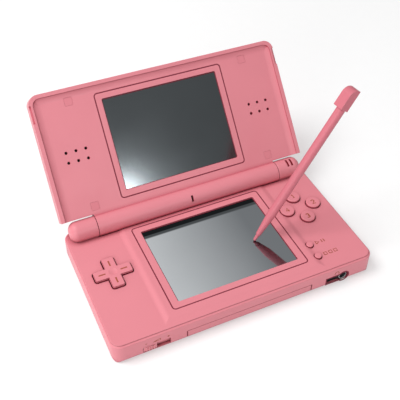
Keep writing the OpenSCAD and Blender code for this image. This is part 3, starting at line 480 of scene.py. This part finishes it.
def lines_piece(name, lines, width, place, body, material, flatness=0.12):
    """Flat, round-ended lines on a face, such as print or a painted shadow line in a seam, as
    one piece.
    """
    curve = bpy.data.curves.new(name, "CURVE")
    curve.dimensions = "3D"
    curve.bevel_depth = mm(width / 2)
    curve.bevel_resolution = 2
    curve.use_fill_caps = True
    for line in lines:
        spline = curve.splines.new("POLY")
        spline.points.add(len(line) - 1)
        for point, (x, y) in zip(spline.points, line):
            point.co = (mm(x), mm(y), 0, 1)
    drawn = bpy.data.objects.new(name + "_curve", curve)
    bpy.context.scene.collection.objects.link(drawn)
    bpy.context.view_layer.update()
    depsgraph = bpy.context.evaluated_depsgraph_get()
    mesh = bpy.data.meshes.new_from_object(drawn.evaluated_get(depsgraph))
    bpy.data.objects.remove(drawn)
    mesh.transform(place @ Matrix.Diagonal((1, 1, flatness, 1)))
    add_piece(name, mesh, body, material)


def ink(name, lines, place, body, width=0.6):
    lines_piece(name, lines, width, place, body, "ink", flatness=0.06)


NUMERALS = {
    "1": [[(-0.55, 0.75), (0.1, 1.3), (0.1, -1.3)]],
    "2": [[*arc(0, 0.55, 0.75, 170, -30), (-0.8, -1.3), (0.85, -1.3)]],
    "3": [[*arc(-0.05, 0.6, 0.68, 150, -80)], [*arc(-0.05, -0.55, 0.74, 85, -150)]],
    "4": [[(0.35, -1.3), (0.35, 1.3), (-0.85, -0.5), (0.95, -0.5)]],
}


def button_marks():
    """Plain numbers on the face buttons and bars on the four-way pad."""
    for number, side in zip("1234", ("top", "right", "bottom", "left")):
        x, y, z = centre_and_top("face_button_" + side)
        ink("number_" + number, NUMERALS[number], place_at(x, y, z), "button_" + side)
    x, y, z = centre_and_top("direction_pad")
    bars = [[(r * a, r * b) for r in PAD_BAR] for a, b in ((1, 0), (0, 1), (-1, 0), (0, -1))]
    ink("pad_bars", bars, place_at(x, y, z), "pad", 0.7)


def menu_marks():
    """Plain signs beside the two small buttons, in place of words."""
    play = [(-0.9, -0.95), (0.9, 0), (-0.9, 0.95), (-0.9, -0.95)]
    pause = [[(2.4, -0.9), (2.4, 0.9)], [(3.7, -0.9), (3.7, 0.9)]]
    squares = [
        [(c - 0.8, -0.8), (c + 0.8, -0.8), (c + 0.8, 0.8), (c - 0.8, 0.8), (c - 0.8, -0.8)]
        for c in (-0.2, 2.6, 5.4)
    ]
    across, back = SMALL_BUTTON_SIGN
    for button, name, lines, width in (
        ("start_button", "start_sign", [play, *pause], 0.5),
        ("select_button", "select_signs", squares, 0.45),
    ):
        x, y, z = centre_and_top(button)
        place = place_at(x + across, y + back, z - SMALL_BUTTON_RISE)
        ink(name, lines, place, "base", width)


def front_marks():
    """Signs over the volume slot and the headset jack."""
    wedge = [(-1.7, -0.45), (1.7, -0.45), (1.7, 0.6), (-1.7, -0.45)]
    minus = [(-5.4, 0), (-4.6, 0)]
    plus = [[(5.0, 0), (6.0, 0)], [(5.5, -0.5), (5.5, 0.5)]]
    ink("volume_signs", [wedge, minus, *plus], place_on_front(*VOLUME_SIGNS), "base", 0.42)
    band = arc(0, 0, 1.1, 0, 180)
    cups = [[(s * 1.1, 0), (s * 1.1, -0.75)] for s in (-1, 1)]
    ink("headset_sign", [band, *cups], place_on_front(*HEADSET_SIGN), "base", 0.42)


def front_shadows():
    """Painted shadow: deep red lines in the gaps beside the slot cover and round the headset
    opening.
    """
    sides = [[(s * COVER_GAP, z) for z in COVER_GAP_HEIGHTS] for s in (-1, 1)]
    lines_piece(
        "cover_side_gap_shadows", sides, 0.5, place_on_front(0, 0), "base", "seam"
    )
    turn = math.degrees(math.asin(HEADSET_HALF / HEADSET_RADIUS))
    rim = arc(HEADSET_RIGHT, 0, HEADSET_RADIUS, 180 - turn, -180 + turn, steps=28)
    loop = [*rim, (HEADSET_LEFT, -HEADSET_HALF), (HEADSET_LEFT, HEADSET_HALF), rim[0]]
    lines_piece(
        "headset_rim_shadow", [loop], 0.9, place_on_front(0, HEADSET_HEIGHT), "base", "seam",
    )


def screen_trim():
    """Painted shadow lines in the seams round both screen frames, and dark gaskets at the
    windows' edges, partly a real gasket and partly painted shade under the frames' inner
    walls.
    """
    low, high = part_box("touch_screen_frame")
    size = (high - low) * 1000
    middle = (low + high) * 500
    upper_low, upper_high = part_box("upper_screen_frame")
    upper_w = (upper_high.x - upper_low.x) * 1000
    upper_h = WINDOW[1] + FRAME_BORDERS
    lower = place_at(0, middle.y, high.z * 1000)
    upper = place_on_lid(0, UPPER_SCREEN, LID_FACE)
    sink = place_at(0, 0, -GLASS_DROP)
    frames = (
        ("lower", size.x, size.y, lower, "base"),
        ("upper", upper_w, upper_h, upper, "lid"),
    )
    for name, w, h, place, body in frames:
        seam = rounded_loop(w + SEAM_GROWTH, h + SEAM_GROWTH, FRAME_CORNER)
        lines_piece(
            name + "_seam", [seam], SEAM_WIDTH, place, body, "seam",
            flatness=0.06,
        )
        gasket = rounded_loop(*(side - GASKET_INSET for side in WINDOW), WINDOW_CORNER)
        lines_piece(
            name + "_gasket", [gasket], GASKET_WIDTH, place @ sink, body, "seam",
            flatness=0.1,
        )


def turned_ring(name, profile, place, body, material):
    """A ring turned from a closed profile of (radius, height) points."""
    build = bmesh.new()
    rows = []
    for i in range(RING_STEPS):
        a = 2 * math.pi * i / RING_STEPS
        rows.append([
            build.verts.new(place @ Vector((mm(r * math.cos(a)), mm(r * math.sin(a)), mm(h))))
            for r, h in profile
        ])
    for i, row in enumerate(rows):
        after = rows[(i + 1) % RING_STEPS]
        for j in range(len(profile)):
            k = (j + 1) % len(profile)
            build.faces.new((row[j], after[j], after[k], row[k])).smooth = True
    bmesh.ops.recalc_face_normals(build, faces=build.faces)
    mesh = bpy.data.meshes.new(name)
    build.to_mesh(mesh)
    build.free()
    add_piece(name, mesh, body, material)


def jack_ring():
    """The bright rim inside the headset jack's mouth."""
    profile = [(1.82, 0), (2.1, 0), (2.18, 0.08), (2.1, 0.18), (1.9, 0.18), (1.82, 0.1)]
    place = place_on_front(HEADSET_RIGHT, HEADSET_HEIGHT, JACK_DEPTH)
    turned_ring("jack_ring", profile, place, "base", "steel")


def hinge_gap_shadows():
    """Painted shadow: deep red rings low in the gaps between the hinge barrel and its end
    caps.
    """
    profile = [(4.4, -0.12), (4.95, -0.12), (4.95, 0.12), (4.4, 0.12)]
    turn = Matrix.Rotation(math.pi / 2, 4, "Y")
    for name, side in (("left", -1), ("right", 1)):
        place = place_at(side * HINGE_GAP, HINGE.y, HINGE.z) @ turn
        turned_ring(name + "_hinge_gap_shadow", profile, place, "base", "seam")


# studio


def look_at(place, target, roll=0.0):
    """A matrix at place that looks along its own -Z towards target."""
    place, target = Vector(place) / 1000, Vector(target) / 1000
    turn = (target - place).to_track_quat("-Z", "Y").to_matrix().to_4x4()
    return Matrix.Translation(place) @ turn @ Matrix.Rotation(roll, 4, "Z")


def camera():
    lens = bpy.data.cameras.new("camera")
    lens.sensor_width = SENSOR
    lens.lens = SENSOR * FOCAL_PIXELS / PHOTO_PIXELS
    lens.shift_y = CAMERA_RISE
    lens.clip_start = 0.01
    lens.clip_end = 20
    viewer = bpy.data.objects.new("camera", lens)
    viewer.matrix_world = look_at(CAMERA_PLACE, CAMERA_TARGET, CAMERA_ROLL)
    bpy.context.scene.collection.objects.link(viewer)
    bpy.context.scene.camera = viewer


def softbox(name, place, target, width, radiance):
    """A flat square light of a given brightness, facing target."""
    light = bpy.data.lights.new(name, "AREA")
    light.shape = "RECTANGLE"
    light.size = light.size_y = mm(width)
    light.energy = radiance * math.pi * light.size * light.size_y
    box = bpy.data.objects.new(name, light)
    box.matrix_world = look_at(place, target)
    bpy.context.scene.collection.objects.link(box)
    return box


def studio():
    """Soft light from the left and above, and a glare that shows only in glossy faces."""
    boxes = {name: softbox(name, *light) for name, light in LIGHTS.items()}
    boxes["screen_glare"].visible_diffuse = False
    world = bpy.data.worlds.new("studio")
    world.use_nodes = True
    nodes, links = world.node_tree.nodes, world.node_tree.links
    direction = nodes.new("ShaderNodeTexCoord")
    split = nodes.new("ShaderNodeSeparateXYZ")
    links.new(direction.outputs["Generated"], split.inputs["Vector"])
    strength = nodes.new("ShaderNodeMath")
    strength.operation = "ADD"
    strength.use_clamp = True
    for i, (axis, low, high) in enumerate(SKY_RAMPS):
        ramp = nodes.new("ShaderNodeMapRange")
        ramp.inputs["From Min"].default_value = -1
        ramp.inputs["From Max"].default_value = 1
        ramp.inputs["To Min"].default_value = low
        ramp.inputs["To Max"].default_value = high
        links.new(split.outputs[axis], ramp.inputs["Value"])
        links.new(ramp.outputs["Result"], strength.inputs[i])
    links.new(strength.outputs[0], nodes["Background"].inputs["Strength"])
    nodes["Background"].inputs["Color"].default_value = (1, 1, 1, 1)
    bpy.context.scene.world = world
    bpy.context.scene.view_settings.view_transform = "Standard"


def floor():
    """A plain pale surface just under the case, with its far edges out of every view."""
    build = bmesh.new()
    drop = place_at(0, 0, -FLOOR_DROP)
    bmesh.ops.create_grid(build, x_segments=8, y_segments=8, size=3, matrix=drop)
    mesh = bpy.data.meshes.new("floor")
    build.to_mesh(mesh)
    build.free()
    white = speckled("floor_white", FLOOR_WHITE, 0.8, 2.0, 0.002, tone=0.01, specular=0.1)
    surface = white.node_tree.nodes["Principled BSDF"]
    surface.inputs["Emission Color"].default_value = (1, 1, 1, 1)
    surface.inputs["Emission Strength"].default_value = FLOOR_GLOW
    mesh.materials.append(white)
    ground = bpy.data.objects.new("floor", mesh)
    bpy.context.scene.collection.objects.link(ground)


camera()
dress_cad_nodes()
button_marks()
menu_marks()
front_marks()
front_shadows()
screen_trim()
jack_ring()
hinge_gap_shadows()
floor()
studio()
